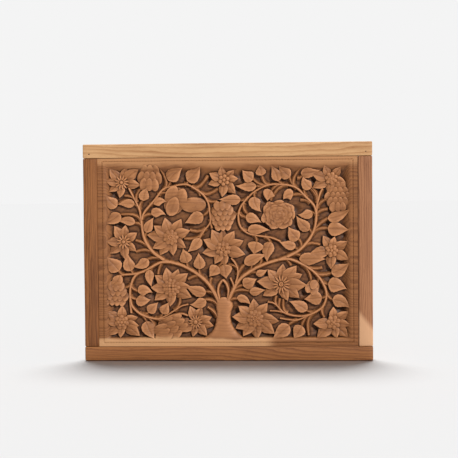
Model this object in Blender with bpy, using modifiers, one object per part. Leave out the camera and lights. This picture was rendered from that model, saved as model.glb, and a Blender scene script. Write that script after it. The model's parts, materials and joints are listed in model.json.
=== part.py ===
"""A carved wall plate: a flowering tree in relief on one walnut board, in a butt-jointed walnut frame.

Metres, +Z up, the carved face towards -Y, the origin at the middle of the flat back.
The relief is drawn in millimetres: x to the right and z up from the middle of the plate,
and h is a height above the back.
"""

import math

import bmesh
import bpy
from mathutils import Vector

MM = 0.001

# Plate and frame
PLATE_WIDTH = 406 * MM
PLATE_HEIGHT = 306 * MM
BAR_WIDTH = 20 * MM
BAR_DEPTH = 20 * MM
BAR_EDGE = 0.8 * MM
GAP = 0.3 * MM
PEG_RADIUS = 2.2 * MM
PEG_LENGTH = 9 * MM
PEG_X = 194 * MM
PEG_Z = 139 * MM

# Heights above the back, in millimetres
BORDER_H = 18.0
GROUND_H = 10.0
FOOT_H = 9.0
LEAF_EDGE_H, LEAF_RIDGE_H = 14.6, 16.4
PETAL_EDGE_H, PETAL_RIDGE_H = 14.2, 15.4
TWIG_H, LIMB_H, LIMB_TIP_H = 14.4, 16.0, 15.2
TRUNK_EDGE_H, TRUNK_RIDGE_H = 13.6, 16.8
HEART_EDGE_H, HEART_TOP_H = 15.6, 17.2
ROSETTE_EDGE_H, ROSETTE_RING_H = 14.2, 15.0
UPPER_PETAL_LIFT, CORE_LIFT, SCALE_LIFT, SCALE_DROP = 0.9, -0.8, 0.9, 0.35

# The carved field, in millimetres: its mouth in the border and its narrower floor
FIELD_LEFT, FIELD_RIGHT, FIELD_BOTTOM, FIELD_TOP = -173.0, 173.0, -123.5, 125.0
FIELD_SLOPE = 4.5
LINE_INSET = 6.0
LINE_WIDTH, LINE_DEPTH = 1.2, 0.6

# Limbs and twigs, in millimetres, and the share of a twig's length that it leans along its limb
LIMB_STEP = 13.0
TWIG_WIDTH = 3.6
SHORT_TWIG = 9.0
TWIG_LEAN = 0.45

# Points this near to each other, in millimetres, are one point
POINT_SIZE = 0.01

# The share of triangles kept where crossing forms leave slivers
KEPT_SHARE = 0.515

# The trunk from root to crown: height z, middle x and half width
TRUNK = [
    (-124, -6, 33), (-118.5, -6, 22), (-111, -6, 15.5), (-103, -6, 11.5), (-94, -6.3, 9.6),
    (-84, -6.3, 10.6), (-75, -5.5, 12.6), (-67, -5.5, 11.5), (-60, -6, 4),
]

# Limbs as width at the root, width at the tip, and the points that they grow through
LIMBS = [
    (8.5, 6, [(-12, -68), (-19, -58), (-29, -43), (-45, -29.5), (-64, -19), (-86, -12.5),
              (-97, -7)]),
    (7.5, 4, [(-90, -11), (-104, -1), (-114, 12), (-119, 25), (-122, 46), (-124, 60),
              (-130, 73), (-139, 91)]),
    (5, 4, [(-121, 46), (-117, 57), (-102, 74.5), (-90, 89), (-76, 93), (-58, 95.5), (-44, 89)]),
    (4.5, 3.5, [(-50, 92.5), (-35, 82), (-27, 70), (-24.5, 55), (-24, 42), (-32, 31), (-39, 20)]),
    (6.5, 4.5, [(-80, -14), (-95, -14.5), (-115, -25), (-130, -32), (-137, -45), (-139, -62),
                (-137.5, -86)]),
    (5.5, 4, [(-118, -27), (-132, -30.5), (-146, -31.5), (-155, -33)]),
    (5, 4, [(-139, -62), (-136, -76), (-125, -87), (-110, -93), (-94, -94.5), (-78, -89),
            (-66, -87), (-57, -90)]),
    (4, 3.5, [(-100, -95), (-88, -90), (-74, -81.5), (-66, -76.5), (-56, -74)]),
    (8.5, 6, [(-1, -69), (7, -55), (16, -40), (32, -27.5), (52, -17.5), (75, -10.5), (92, -4)]),
    (7, 4.5, [(84, -7.5), (101, 2), (114, 16), (122, 31), (124.5, 45), (126, 64), (130, 80),
              (134, 88)]),
    (5, 4, [(125, 52), (122, 64), (110, 77), (96, 90), (78, 94), (58, 93.5), (38, 84), (25, 71)]),
    (4.5, 3.5, [(30, 78), (18.5, 62), (15.5, 48), (19, 34.5), (30, 25.5), (46, 22), (62, 19.5),
                (75, 14)]),
    (6, 5, [(72, -11.5), (86, -10.5), (101, -16), (119, -27), (132, -42), (138.5, -60),
            (133, -78), (118, -88)]),
    (4.5, 3.5, [(126, -84), (114, -89.5), (98, -96.5), (86, -96), (73, -94)]),
    (4.5, 3.5, [(122, -86.5), (106, -91), (90, -90), (78, -85.5), (66, -73.5), (56, -71)]),
    (3.5, 3, [(92, -90.5), (80, -86.5), (70, -84), (59, -83.5)]),
    (5, 5, [(-11, -66), (-14, -55), (-11.5, -45), (-6.5, -39), (-2, -45), (0.8, -55), (-1, -66)]),
    (4.5, 3.5, [(1, -66), (7, -56), (8, -47), (3.5, -36.5)]),
    (4.5, 3.5, [(11, -44), (14, -34), (14, -24), (10, -15), (5, -9)]),
]

# Bare twigs, as where each leaves its limb and where it ends
TWIGS = [
    (-128, 71, -122, 90), (-130, 73, -145, 80), (-97, 81, -78, 80), (-90, 88, -96, 119),
    (-50, 92.5, -27, 108), (-44, 89, -38, 79), (-38, 84, -13, 89), (-30, 75, -14, 71),
    (-24, 46, -22, 33), (-30, 34, -53, 31), (-35, 27, -61, 19), (-108, 4, -130, 17),
    (-103, -2, -130, 1), (126, 60, 139, 73), (125, 50, 141, 59), (106, 7, 130, 9),
    (97, 90, 104, 118), (112, 75, 109, 93), (117, 68, 103, 72), (86, 93, 61, 72),
    (24, 69, 29, 52), (17, 56, 8, 53), (-86, -13, -99, -31), (-36, -36, -56, -38.5),
    (-137, -44, -150, -50), (109, -21, 133, -23), (104, -18, 117, -41), (126, -34, 126, -43),
    (76, -10, 89, -20), (133, -78, 135, -93), (43, -21, 47, -10), (69, -76, 68, -62),
    (84, -87, 78, -67), (77, -85, 73, -66), (-76, -83, -68, -64), (-119, -89, -101, -113),
    (-104, -94, -93, -100), (-15, -92, -29, -78), (-24, -49, -23, -36), (14, -25, 1, -18.5),
    (29, -30, 34, -18), (121, -86, 113, -118), (126, 68, 117, 88),
]

# Leaves, as where the stalk leaves its limb, where the blade begins, its tip and its width
LEAVES = [
    (-124, 60, -118, 73, -112, 92, 13), (-134, 69, -156, 65, -172, 82, 15),
    (-125, 63, -131, 68, -155, 68, 10), (-109, 67, -103, 68, -85, 71, 11),
    (-87, 90, -82, 101, -62, 119, 17), (-60, 95.5, -56, 101, -37, 121, 17),
    (28, 75, 19, 73, -12, 74, 13), (57, 93.5, 37, 102, 22, 115, 15),
    (54, 93, 41, 93, 12, 93, 12), (60, 93.5, 49, 107, 46, 122, 13),
    (80, 94, 72, 99, 62, 121, 12), (98, 88, 89, 105, 73, 121, 14),
    (76, 94, 62, 86, 57, 71, 15), (40, 85, 38, 77, 48, 56, 15),
    (110, 77, 93, 80, 79, 73, 13), (126, 72, 118, 89, 107, 106, 13),
    (99, 103, 104, 110, 131, 114, 13), (-122, 42, -152, 55, -174, 41, 14),
    (-121, 36, -131, 41, -157, 44, 10), (-117, 18, -114, 28, -104, 49, 12),
    (-121, 47, -107, 54, -87, 53, 12), (-26, 62, -34, 52, -60, 41, 16),
    (-34, 31, -38, 19, -57, 0, 13), (17, 56, 26, 49, 48, 41, 13),
    (20, 33, 29, 30, 60, 30, 13), (36, 24, 41, 14, 37, -4, 20),
    (52, 21, 62, 13, 56, -15, 15), (102, 3, 96, 8, 73, 14, 12),
    (102, 3, 100, 17, 86, 35, 16), (124.5, 50, 119, 56, 99, 52, 11),
    (118, 22, 115, 30, 97, 50, 14), (121, 27, 141, 46, 173, 60, 13),
    (119, 24, 141, 32, 171, 30, 18), (-147, -31.5, -154, -26, -171, -6, 19),
    (-132, -30.5, -137, -26, -141, -2, 14), (-92, -10, -113, -9.5, -134, -20, 12),
    (-148, -32, -153, -32, -172, -48, 13), (-137, -45, -127, -56, -107, -57, 13),
    (-139, -60, -130, -67, -109, -67, 14), (-105, -19, -110, -25, -108, -49, 11),
    (-17, -62, -31, -58, -60, -47, 13), (-15, -75, -32, -67, -54, -74, 13),
    (26, -31, 40, -31, 56, -25, 9), (2, -63, 31, -57, 53, -54, 11),
    (8, -56, 22, -48, 41, -38, 16), (1, -71, 13, -65, 32, -75, 10),
    (-122, -88, -113, -85, -99, -71, 12), (-100, -95, -93, -87, -84, -71, 12),
    (-126, -86, -116, -98, -104, -123, 16), (138, -62, 132, -65, 107, -67, 17),
    (138, -58, 147, -68, 171, -80, 15), (92, -4, 101, -10.5, 138, -11, 16),
    (124, -85, 111, -83, 86, -70, 14), (116, -89, 104, -105, 92, -123, 15),
    (98, -96, 86, -104, 62, -124, 16), (131, -41, 141, -46, 167, -53, 18),
    (121, -29, 146, -31, 171, -16, 15), (-53, -25, -57, -15, -63, 5, 16),
    (-37, -36, -39, -24, -41, -1, 15), (14, -33, 24, -17, 56, -4, 14),
    (-70, 72, -62, 67, -32, 68, 20), (-9, -12, -14, -20, -26, -35, 15),
    (-5, -12, -5, -18, -2, -38, 19),
]

# Flowers, as the centre, the heart's radius, and each petal's angle in degrees and reach
FLOWERS = [
    (-149, 99, 8, [(130, 26), (72, 23), (37, 30), (-8, 27), (262, 22), (216, 22), (173, 23)]),
    (-4, 101, 7, [(154, 23), (195, 23), (263, 24), (310, 25), (5, 20), (45, 20), (101, 20)]),
    (146, 102, 10, [(165, 28), (207, 29), (118, 21), (50, 21), (-20, 22), (-52, 22), (260, 22)]),
    (-147, 15, 9, [(120, 26), (83, 24), (34, 23), (-37, 22), (-85, 25), (219, 26), (178, 25)]),
    (-80, 21, 11, [(106, 29), (60, 30), (19, 29), (-35, 26), (-83, 26), (-122, 30), (-149, 30),
                   (174, 34), (145, 29)]),
    (-6, 4, 11, [(120, 32), (90, 28), (58, 30), (22, 31), (-14, 32), (-88, 25), (240, 24),
                 (190, 30), (154, 31)]),
    (146, 1, 10, [(186, 30), (120, 24), (76, 20), (30, 26), (-29, 27), (-92, 26)]),
    (-80, -50, 13, [(104, 29), (69, 28), (40, 31), (-26, 32), (-94, 27), (217, 30), (180, 29),
                    (143, 29), (3, 27)]),
    (75, -46, 12, [(132, 28), (84, 29), (50, 34), (25, 33), (-2, 36), (-37, 32), (-68, 25),
                   (212, 30), (173, 34)]),
    (-151, -99, 10, [(88, 24), (141, 26), (180, 22), (222, 27), (265, 22), (-37, 32),
                     (-12, 25), (17, 24)]),
    (-46, -99, 10, [(109, 24), (67, 23), (17, 24), (-13, 26), (-50, 25), (259, 21), (211, 26),
                    (186, 27)]),
    (38, -94, 12, [(143, 29), (94, 28), (50, 28), (-7, 34), (-38, 35), (-85, 30), (236, 30),
                   (207, 31), (176, 32)]),
    (148, -100, 10, [(90, 22), (36, 26), (-9, 24), (-46, 29), (-80, 23), (224, 32), (184, 28)]),
]
PETAL_SHARE = 0.42

# Scaly cones and buds, as the foot, the tip, the width and the rows of scales
CONES = [
    (-110, 91, -108, 122, 25, 4), (-76, 56, -72, 90, 25, 4), (155, 58, 155, 96, 30, 4),
    (-7, 69, -6.5, 30.5, 29, 4), (-158, -45, -161, -74, 29, 4), (-98, -119, -65, -97, 24, 3),
    (123, -43, 115, -58, 17, 2),
]

# The round rosette, as its centre, its two radii and its rings of scallops
ROSETTE_X, ROSETTE_Z, ROSETTE_RADII, ROSETTE_RINGS = 72, 52, (23, 20), 2
ROSETTE_SCALLOPS = 9

WALNUT = {
    "pale walnut": (0.42, 0.23, 0.12),
    "brown walnut": (0.27, 0.13, 0.06),
    "carved walnut": (0.30, 0.15, 0.075),
    "dark peg": (0.10, 0.04, 0.02),
}


def clear_scene():
    for old in list(bpy.data.objects):
        bpy.data.objects.remove(old, do_unlink=True)


def new_collection(name):
    collection = bpy.data.collections.new(name)
    bpy.context.scene.collection.children.link(collection)
    return collection


def material(name):
    made = bpy.data.materials.get(name) or bpy.data.materials.new(name)
    made.use_nodes = True
    shader = made.node_tree.nodes["Principled BSDF"]
    shader.inputs["Base Color"].default_value = (*WALNUT[name], 1)
    shader.inputs["Roughness"].default_value = 0.55
    shader.inputs["Metallic"].default_value = 0.0
    return made


def link_mesh(name, mesh, collection):
    made = bpy.data.objects.new(name, mesh)
    collection.objects.link(made)
    return made


def as_cutter(shape):
    shape.hide_render = True
    shape.display_type = "WIRE"
    return shape


def block(name, collection, low, high):
    """A box from its lowest to its highest corner."""
    bm = bmesh.new()
    bmesh.ops.create_cube(bm, size=1)
    for vert in bm.verts:
        vert.co = Vector(low[i] + (vert.co[i] + 0.5) * (high[i] - low[i]) for i in range(3))
    mesh = bpy.data.meshes.new(name)
    bm.to_mesh(mesh)
    bm.free()
    return link_mesh(name, mesh, collection)


def at(point, h):
    """A point of the drawing, at a height above the back, as a place in the plate."""
    return Vector((point[0] * MM, -h * MM, point[1] * MM))


def loft(name, collection, rings):
    """A closed body through rings of equally many points. A ring without width makes a pointed end."""
    bm = bmesh.new()
    rows = [[bm.verts.new(point) for point in ring] for ring in rings]
    count = len(rings[0])
    for near, far in zip(rows, rows[1:]):
        for i in range(count):
            j = (i + 1) % count
            bm.faces.new((near[i], near[j], far[j], far[i]))
    bm.faces.new(rows[0])
    bm.faces.new(rows[-1])
    bmesh.ops.triangulate(bm, faces=bm.faces)
    bmesh.ops.remove_doubles(bm, verts=bm.verts, dist=POINT_SIZE * MM)
    bmesh.ops.dissolve_degenerate(bm, edges=bm.edges, dist=POINT_SIZE * MM)
    bmesh.ops.recalc_face_normals(bm, faces=bm.faces)
    mesh = bpy.data.meshes.new(name)
    bm.to_mesh(mesh)
    bm.free()
    return as_cutter(link_mesh(name, mesh, collection))


def directions(spine):
    """The unit direction of travel at each point of a spine."""
    found = []
    for i in range(len(spine)):
        ahead = spine[min(i + 1, len(spine) - 1)]
        behind = spine[max(i - 1, 0)]
        found.append((ahead - behind).normalized())
    return found


def strip(name, collection, spine, halves, edges, ridges):
    """A form carved along a spine, with a roof-shaped section whose feet are sunk in the ground."""
    rings = []
    for point, way, half, edge, ridge in zip(spine, directions(spine), halves, edges, ridges):
        side = Vector((-way.y, way.x)) * half
        left, right = point - side, point + side
        ring = [at(left, FOOT_H), at(left, edge), at(point, ridge), at(right, edge), at(right, FOOT_H)]
        rings.append(ring)
    return loft(name, collection, rings)


def ridge_strip(name, collection, spine, halves, ridges):
    """A limb or twig: a three-sided section with its feet sunk in the ground."""
    rings = []
    for point, way, half, ridge in zip(spine, directions(spine), halves, ridges):
        side = Vector((-way.y, way.x)) * half
        rings.append([at(point - side, FOOT_H), at(point, ridge), at(point + side, FOOT_H)])
    return loft(name, collection, rings)


def curve_through(points, step):
    """Points about one step apart on a smooth curve through the given ones."""
    knots = [Vector(p) for p in points]
    knots = [2 * knots[0] - knots[1]] + knots + [2 * knots[-1] - knots[-2]]
    found = [knots[1]]
    for a, b, c, d in zip(knots, knots[1:], knots[2:], knots[3:]):
        parts = max(1, round((c - b).length / step))
        for k in range(1, parts + 1):
            t = k / parts
            found.append(
                0.5 * (2 * b + (c - a) * t + (2 * a - 5 * b + 4 * c - d) * t * t
                       + (3 * b - 3 * c + d - a) * t ** 3)
            )
    return found


def limb_way(start, routes):
    """The direction of growth of the limb nearest to a point."""
    best = None
    for route in routes:
        for point, way in zip(route, directions(route)):
            distance = (point - start).length
            if best is None or distance < best[0]:
                best = (distance, way)
    return best[1]


def twig_route(start, end, routes, pieces):
    """A twig that leaves its limb along the limb's own growth and bends over to its end."""
    lean = limb_way(start, routes)
    if lean.dot(end - start) < 0:
        lean = -lean
    middle = start + lean * (end - start).length * TWIG_LEAN
    return [
        start * (1 - t) ** 2 + middle * 2 * t * (1 - t) + end * t * t
        for t in [k / pieces for k in range(pieces + 1)]
    ]


def add_twig(name, collection, start, end, routes):
    route = twig_route(start, end, routes, 1 if (end - start).length < SHORT_TWIG else 2)
    halves = [TWIG_WIDTH * (0.62 - 0.3 * k / (len(route) - 1)) for k in range(len(route))]
    ridge_strip(name, collection, route, halves, [TWIG_H] * len(route))


def add_leaf(name, collection, base, tip, width, lift=0.0):
    """A pointed oval blade with a ridge down its middle."""
    shares = [(0.0, 0.0), (0.2, 0.78), (0.5, 1.0), (0.8, 0.58), (1.0, 0.0)]
    spine = [base.lerp(tip, share) for share, _ in shares]
    halves = [width / 2 * size for _, size in shares]
    edges = [LEAF_EDGE_H + lift] * len(shares)
    ridges = [(LEAF_RIDGE_H if size else LEAF_EDGE_H) + lift for _, size in shares]
    strip(name, collection, spine, halves, edges, ridges)


def add_scale(name, collection, base, tip, width, lift):
    """One scale of a cone: a kite with a low ridge."""
    spine = [base, base.lerp(tip, 0.55), tip]
    edge = LEAF_EDGE_H + lift
    strip(name, collection, spine, [0, width / 2, 0], [edge] * 3, [edge, LEAF_RIDGE_H + lift, edge])


def add_petal(name, collection, centre, angle, reach, inner, lift):
    """One petal, from under the heart to its point."""
    way = Vector((math.cos(math.radians(angle)), math.sin(math.radians(angle))))
    shares = [(inner / reach * 0.5, 0.6), (0.6, 1.0), (1.0, 0.0)]
    spine = [centre + way * reach * share for share, _ in shares]
    halves = [reach * PETAL_SHARE / 2 * size for _, size in shares]
    edge, ridge = PETAL_EDGE_H + lift, PETAL_RIDGE_H + lift
    strip(name, collection, spine, halves, [edge] * 3, [ridge, ridge, edge])


def add_dome(name, collection, centre, radii, levels, sides, scallop=0.0):
    """A low dome or rosette: rings of points, each a share of the radii at a height above the back."""
    rings = []
    for share, h in levels:
        ring = []
        for k in range(sides):
            turn = 2 * math.pi * k / sides
            wave = 1 + scallop * (1 if k % 2 else -1)
            offset = Vector((math.cos(turn) * radii[0], math.sin(turn) * radii[1])) * share * wave
            ring.append(at(centre + offset, h))
        rings.append(ring)
    return loft(name, collection, rings)


def add_flower(name, collection, centre, heart, petals):
    for k, (angle, reach) in enumerate(petals):
        lift = 0.0 if k % 2 else UPPER_PETAL_LIFT
        add_petal(f"{name}_petal_{k + 1}", collection, centre, angle, reach, heart, lift)
    levels = [(1.0, FOOT_H), (1.0, HEART_EDGE_H), (0.45, HEART_TOP_H)]
    add_dome(f"{name}_heart", collection, centre, (heart, heart), levels, 10, 0.1)


def add_cone(name, collection, foot, tip, width, rows):
    """A scaly cone: staggered rows of short scales that overlap towards the tip."""
    axis = (tip - foot).normalized()
    side = Vector((-axis.y, axis.x))
    length = (tip - foot).length
    add_leaf(f"{name}_core", collection, foot, tip, width * 0.9, CORE_LIFT)
    for row in range(rows):
        along = (row + 0.1) / (rows + 0.4)
        reach = length / (rows + 0.4) * 1.5
        across = math.sin(math.pi * min(0.96, along + 0.32)) ** 0.5
        count = 3 if row % 2 == 0 else 2
        for k in range(count):
            shift = (k - (count - 1) / 2) * width / 3.1 * across
            start = foot + axis * length * along + side * shift
            end = start + axis * reach + side * shift * 0.12
            label = f"{name}_scale_{row + 1}_{k + 1}"
            add_scale(label, collection, start, end, width / 2.9, SCALE_LIFT - SCALE_DROP * row)


def carve_tree(collection):
    """Every form of the relief, as bodies that stand on the field's ground."""
    middle = [Vector((x, z)) for z, x, _ in TRUNK]
    halves = [half for _, _, half in TRUNK]
    count = len(TRUNK)
    strip("trunk", collection, middle, halves, [TRUNK_EDGE_H] * count, [TRUNK_RIDGE_H] * count)

    routes = [curve_through(points, LIMB_STEP) for _, _, points in LIMBS]
    for n, ((root, tip, _), route) in enumerate(zip(LIMBS, routes)):
        last = len(route) - 1
        widths = [root + (tip - root) * k / last for k in range(last + 1)]
        ridges = [LIMB_H + (LIMB_TIP_H - LIMB_H) * k / last for k in range(last + 1)]
        ridge_strip(f"limb_{n + 1}", collection, route, [w * 0.6 for w in widths], ridges)

    for n, (x0, z0, x1, z1) in enumerate(TWIGS):
        add_twig(f"twig_{n + 1}", collection, Vector((x0, z0)), Vector((x1, z1)), routes)

    for n, (sx, sz, bx, bz, tx, tz, width) in enumerate(LEAVES):
        stalk, base, tip = Vector((sx, sz)), Vector((bx, bz)), Vector((tx, tz))
        inside = base.lerp(tip, 0.12)
        add_twig(f"stalk_{n + 1}", collection, stalk, inside, routes)
        add_leaf(f"leaf_{n + 1}", collection, base, tip, width)

    for n, (x, z, heart, petals) in enumerate(FLOWERS):
        add_flower(f"flower_{n + 1}", collection, Vector((x, z)), heart, petals)

    for n, (fx, fz, tx, tz, width, rows) in enumerate(CONES):
        add_cone(f"cone_{n + 1}", collection, Vector((fx, fz)), Vector((tx, tz)), width, rows)

    levels = [(1.0, FOOT_H), (1.0, ROSETTE_EDGE_H)]
    for ring in range(ROSETTE_RINGS):
        share = 1 - ring / ROSETTE_RINGS
        top = ROSETTE_RING_H + 0.6 * ring
        levels += [(share * 0.8, top), (share * 0.72, top - 0.4)]
    rosette = Vector((ROSETTE_X, ROSETTE_Z))
    add_dome("rosette", collection, rosette, ROSETTE_RADII, levels, 2 * ROSETTE_SCALLOPS, 0.05)


def field_cutters(collection):
    """What is cut from the board: the sloping-sided field, and a fine line in the border round it."""
    rings = []
    for h, inset in [(GROUND_H, FIELD_SLOPE), (BORDER_H, 0), (BORDER_H + 2, 0)]:
        low_x, high_x = FIELD_LEFT + inset, FIELD_RIGHT - inset
        low_z, high_z = FIELD_BOTTOM + inset, FIELD_TOP - inset
        corners = [(low_x, low_z), (high_x, low_z), (high_x, high_z), (low_x, high_z)]
        rings.append([at(corner, h) for corner in corners])
    loft("field_cut", collection, rings)

    half_x = (PLATE_WIDTH / 2 - BAR_WIDTH) / MM - LINE_INSET
    half_z = (PLATE_HEIGHT / 2 - BAR_WIDTH) / MM - LINE_INSET + 1.5
    half = LINE_WIDTH / 2
    for n, sign in enumerate((-1, 1)):
        for axis, (span, across) in {"level": (half_x, half_z), "upright": (half_z, half_x)}.items():
            low = (-span - half, sign * across - half)
            high = (span + half, sign * across + half)
            if axis == "upright":
                low, high = low[::-1], high[::-1]
            deep, proud = -(BORDER_H - LINE_DEPTH) * MM, -(BORDER_H + 1) * MM
            line = block(
                f"{axis}_line_{n + 1}", collection,
                (low[0] * MM, proud, low[1] * MM), (high[0] * MM, deep, high[1] * MM),
            )
            as_cutter(line)


def boolean(target, name, operation, collection):
    modifier = target.modifiers.new(name, "BOOLEAN")
    modifier.operation = operation
    modifier.operand_type = "COLLECTION"
    modifier.collection = collection
    modifier.solver = "EXACT"
    return modifier


def make_panel(parts, cuts, forms):
    """The carved board: the field is sunk, then the relief stands up from its ground."""
    half_x = PLATE_WIDTH / 2 - BAR_WIDTH - GAP / 2
    half_z = PLATE_HEIGHT / 2 - BAR_WIDTH - GAP / 2
    panel = block("carved_panel", parts, (-half_x, -BORDER_H * MM, -half_z), (half_x, 0, half_z))
    panel.data.materials.append(material("carved walnut"))
    field_cutters(cuts)
    carve_tree(forms)
    boolean(panel, "sink the field", "DIFFERENCE", cuts)
    boolean(panel, "raise the relief", "UNION", forms)
    thin = panel.modifiers.new("merge slivers", "DECIMATE")
    thin.ratio = KEPT_SHARE


def ease_edges(bar):
    """Worn edges, as a small bevel."""
    modifier = bar.modifiers.new("eased edges", "BEVEL")
    modifier.width = BAR_EDGE
    modifier.segments = 2


def make_rail(parts, name, side, finish):
    """A rail runs the plate's full width, above (side 1) or below (side -1) the panel."""
    inner = PLATE_HEIGHT / 2 - BAR_WIDTH + GAP / 2
    low_z, high_z = sorted((side * inner, side * PLATE_HEIGHT / 2))
    rail = block(name, parts, (-PLATE_WIDTH / 2, -BAR_DEPTH, low_z), (PLATE_WIDTH / 2, 0, high_z))
    rail.data.materials.append(material(finish))
    ease_edges(rail)
    return rail


def make_stile(parts, name, side, finish):
    """A stile stands between the rails, left (side -1) or right (side 1) of the panel."""
    inner = PLATE_WIDTH / 2 - BAR_WIDTH + GAP / 2
    low_x, high_x = sorted((side * inner, side * PLATE_WIDTH / 2))
    half_z = PLATE_HEIGHT / 2 - BAR_WIDTH - GAP / 2
    stile = block(name, parts, (low_x, -BAR_DEPTH, -half_z), (high_x, 0, half_z))
    stile.data.materials.append(material(finish))
    ease_edges(stile)


def add_peg(parts, cuts, name, side, rail):
    """A round peg in a blind hole near the rail's end, its head level with the face."""
    for label, collection, radius, front, back in (
        (name, parts, PEG_RADIUS, -BAR_DEPTH, -BAR_DEPTH + PEG_LENGTH),
        (name + "_hole", cuts, PEG_RADIUS + GAP, -BAR_DEPTH - PEG_LENGTH, -BAR_DEPTH + PEG_LENGTH + GAP),
    ):
        bpy.ops.mesh.primitive_cylinder_add(
            vertices=20, radius=radius, depth=back - front,
            location=(side * PEG_X, (front + back) / 2, PEG_Z), rotation=(math.pi / 2, 0, 0),
        )
        shape = bpy.context.object
        shape.name = shape.data.name = label
        for old in list(shape.users_collection):
            old.objects.unlink(shape)
        collection.objects.link(shape)
        if collection is parts:
            shape.data.materials.append(material("dark peg"))
        else:
            hole = rail.modifiers.new(label, "BOOLEAN")
            hole.operation = "DIFFERENCE"
            hole.object = as_cutter(shape)
            hole.solver = "EXACT"


def main():
    clear_scene()
    parts = new_collection("carved wall plate")
    field_cuts = new_collection("field cutters")
    forms = new_collection("relief forms")
    holes = new_collection("peg holes")
    make_panel(parts, field_cuts, forms)
    top = make_rail(parts, "top_rail", 1, "pale walnut")
    make_rail(parts, "bottom_rail", -1, "brown walnut")
    make_stile(parts, "left_stile", -1, "brown walnut")
    make_stile(parts, "right_stile", 1, "brown walnut")
    add_peg(parts, holes, "left_peg", -1, top)
    add_peg(parts, holes, "right_peg", 1, top)


main()
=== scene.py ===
import json
import math

import bpy
import numpy as np
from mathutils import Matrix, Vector
from mathutils.bvhtree import BVHTree

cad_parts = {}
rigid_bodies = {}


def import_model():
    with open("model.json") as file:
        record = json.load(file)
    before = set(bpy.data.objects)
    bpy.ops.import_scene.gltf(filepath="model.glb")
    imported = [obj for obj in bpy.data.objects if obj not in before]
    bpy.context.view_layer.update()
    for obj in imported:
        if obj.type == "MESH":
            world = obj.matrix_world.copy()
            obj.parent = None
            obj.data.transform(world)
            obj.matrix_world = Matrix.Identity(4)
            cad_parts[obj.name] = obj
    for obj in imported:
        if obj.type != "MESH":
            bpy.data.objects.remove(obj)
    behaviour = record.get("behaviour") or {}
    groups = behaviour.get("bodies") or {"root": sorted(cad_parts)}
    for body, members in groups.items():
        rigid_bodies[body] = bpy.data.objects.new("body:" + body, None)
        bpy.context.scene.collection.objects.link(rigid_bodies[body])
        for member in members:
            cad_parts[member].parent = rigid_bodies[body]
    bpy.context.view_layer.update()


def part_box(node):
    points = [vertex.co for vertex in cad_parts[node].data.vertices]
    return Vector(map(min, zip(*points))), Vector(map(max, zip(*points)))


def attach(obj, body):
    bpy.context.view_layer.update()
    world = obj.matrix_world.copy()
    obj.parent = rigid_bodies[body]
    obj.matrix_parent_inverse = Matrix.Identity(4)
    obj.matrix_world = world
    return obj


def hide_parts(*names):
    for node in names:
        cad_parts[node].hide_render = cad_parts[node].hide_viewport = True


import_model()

# The board. One plank of walnut, planed flat with its grain running level. The carver leaves a flat
# border, scores a fine line round it and punches the line with dots, and sinks the field inside
# with gouges. Places are in millimetres: x right and z up from the plate's middle, h off the back.
MM = 0.001
board_low, board_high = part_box("carved_panel")
BOARD_X, BOARD_Z, BORDER_H = board_high.x / MM, board_high.z / MM, -board_low.y / MM
FIELD_LEFT, FIELD_RIGHT, FIELD_BOTTOM, FIELD_TOP = -173.5, 173.5, -123, 127
SIDE_SLOPE, BOTTOM_SLOPE, TOP_SLOPE = 13.0, 4.5, 20.0
GROUND_H, LOWEST_H, FOOT_H = 10.2, 6.0, 4.5
GOUGE_LONG, GOUGE_WIDE, GOUGE_DEEP, GOUGE_STRAY = 6.5, 4.2, 0.9, 0.36
SWELL_H, SWELL_X, SWELL_Z = 0.5, 17, 13
LINE_X, LINE_TOP, LINE_BOTTOM = 176.2, 128.6, -127.4
LINE_WIDE, LINE_DEEP = 1.3, 0.7
DOT_STEP, DOT_WIDE, DOT_DEEP, DOT_SIDES = 4.0, 1.5, 0.9, 6
GRID = 2.2

# Where the carver has dug deepest between the forms: x, z, reach and extra depth
POCKETS = [
    (-123, 104, 5, 4), (-130, 92, 7, 3), (-118, 88, 7, 3), (-160, 83, 6, 3), (-60, 112, 7, 2),
    (-24, 104, 7, 3), (0, 85, 6, 4), (22, 108, 7, 4), (15, 90, 7, 3), (53, 75, 7, 3),
    (122, 101, 6, 4), (135, 80, 8, 3), (-155, 42, 8, 3), (-104, 34, 7, 4), (-55, 40, 7, 3),
    (-15, 38, 6, 4), (-30, 8, 8, 4), (38, 48, 6, 4), (32, 35, 6, 3), (51, 37, 6, 4),
    (29, 3, 7, 3), (54, -1, 6, 3), (100, 38, 7, 4), (86, 20, 7, 3), (145, 25, 8, 3),
    (164, 22, 4, 4), (143, 39, 7, 3), (148, 57, 7, 3), (-150, -12, 8, 3), (-105, -40, 7, 4),
    (-112, -52, 7, 3), (-105, -61, 6, 4), (-96, -73, 6, 4), (-47, -58, 6, 4), (-27, -64, 6, 4),
    (-45, -76, 5, 4), (-100, -103, 6, 3), (20, -72, 7, 4), (12, -84, 8, 4), (10, -97, 8, 3),
    (22, -110, 8, 3), (42, -47, 6, 4), (53, -34, 6, 4), (52, -8, 6, 3), (98, -8, 6, 2),
    (158, -14, 6, 4), (140, -25, 7, 3), (144, -36, 6, 3), (107, -57, 8, 4), (93, -66, 7, 4),
    (105, -72, 7, 4), (158, -80, 8, 4), (125, -108, 7, 3), (57, -113, 7, 3), (-7, -55, 5, 3),
    (4, -48, 5, 3), (-24, -90, 8, 3), (-22, -104, 7, 3), (-30, -30, 7, 3), (98, 60, 6, 3),
    (-94, 97, 8, 2), (-78, 104, 7, 2), (-68, 34, 7, 3), (96, -30, 7, 3), (128, -52, 5, 3),
]


def smooth(t):
    """0 to 1 with soft ends."""
    t = np.clip(t, 0, 1)
    return t * t * (3 - 2 * t)


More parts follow.
